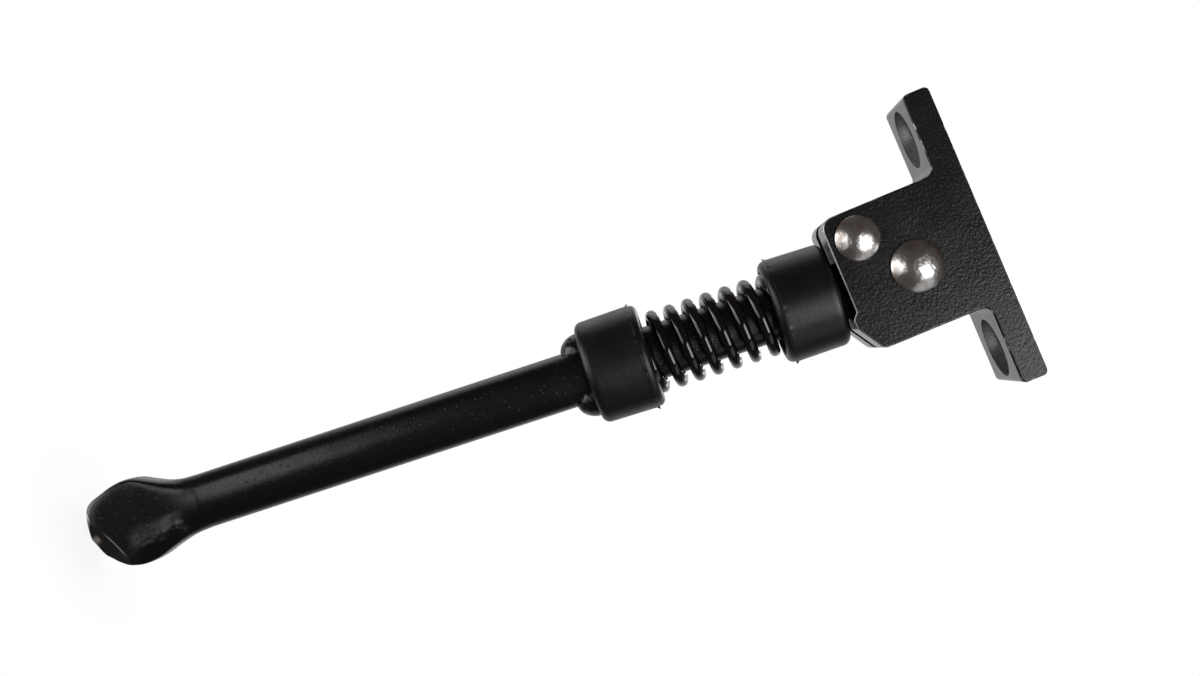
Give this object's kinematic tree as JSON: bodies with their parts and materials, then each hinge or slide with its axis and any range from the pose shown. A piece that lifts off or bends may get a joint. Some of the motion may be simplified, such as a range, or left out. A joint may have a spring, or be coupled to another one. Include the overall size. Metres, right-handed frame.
{
  "type": "electric scooter kickstand",
  "caption": "Folding kickstand with a slotted mounting bracket, a riveted pivot, a flattened rod leg and a coil spring held between two cups that snaps the leg open or folded.",
  "frame": {"origin": "middle of the two mounting screw holes, on the bracket face that bolts to the deck", "axes": "+Z out of the mounting face into the deck, +X along the flange to the side the leg folds to, Y along the pivot"},
  "size_m": [0.0748, 0.0326, 0.2366],
  "materials": {
    "bracket_coat": "satin powder coat with a fine leathery grain",
    "rivet_steel": "bright upset heads",
    "leg_paint": "semi-gloss paint over forged steel",
    "cup_nylon": "satin moulded",
    "spring_paint": "gloss black"
  },
  "bodies": {
    "bracket": {"bracket": "bracket_coat", "pivot_rivet": "rivet_steel", "stop_rivet": "rivet_steel"},
    "leg": {"leg": "leg_paint", "lower_cup": "cup_nylon", "spring": "spring_paint"},
    "upper_cup": {"upper_cup": "cup_nylon"}
  },
  "joints": [
    {"name": "leg_fold", "type": "hinge", "parent": "bracket", "child": "leg", "pos_m": [0.0017, 0, -0.019], "axis": [0, -1, 0], "range_deg": [0, 90]},
    {"name": "cup_slide", "type": "slide", "parent": "leg", "child": "upper_cup", "axis": [-0.075, 0, -0.9972], "range_m": [0, 0.0079], "deforming": ["spring"]}
  ],
  "couplings": [
    {"joint": "cup_slide", "follows": "leg_fold", "m_per_rad": 0.005}
  ]
}
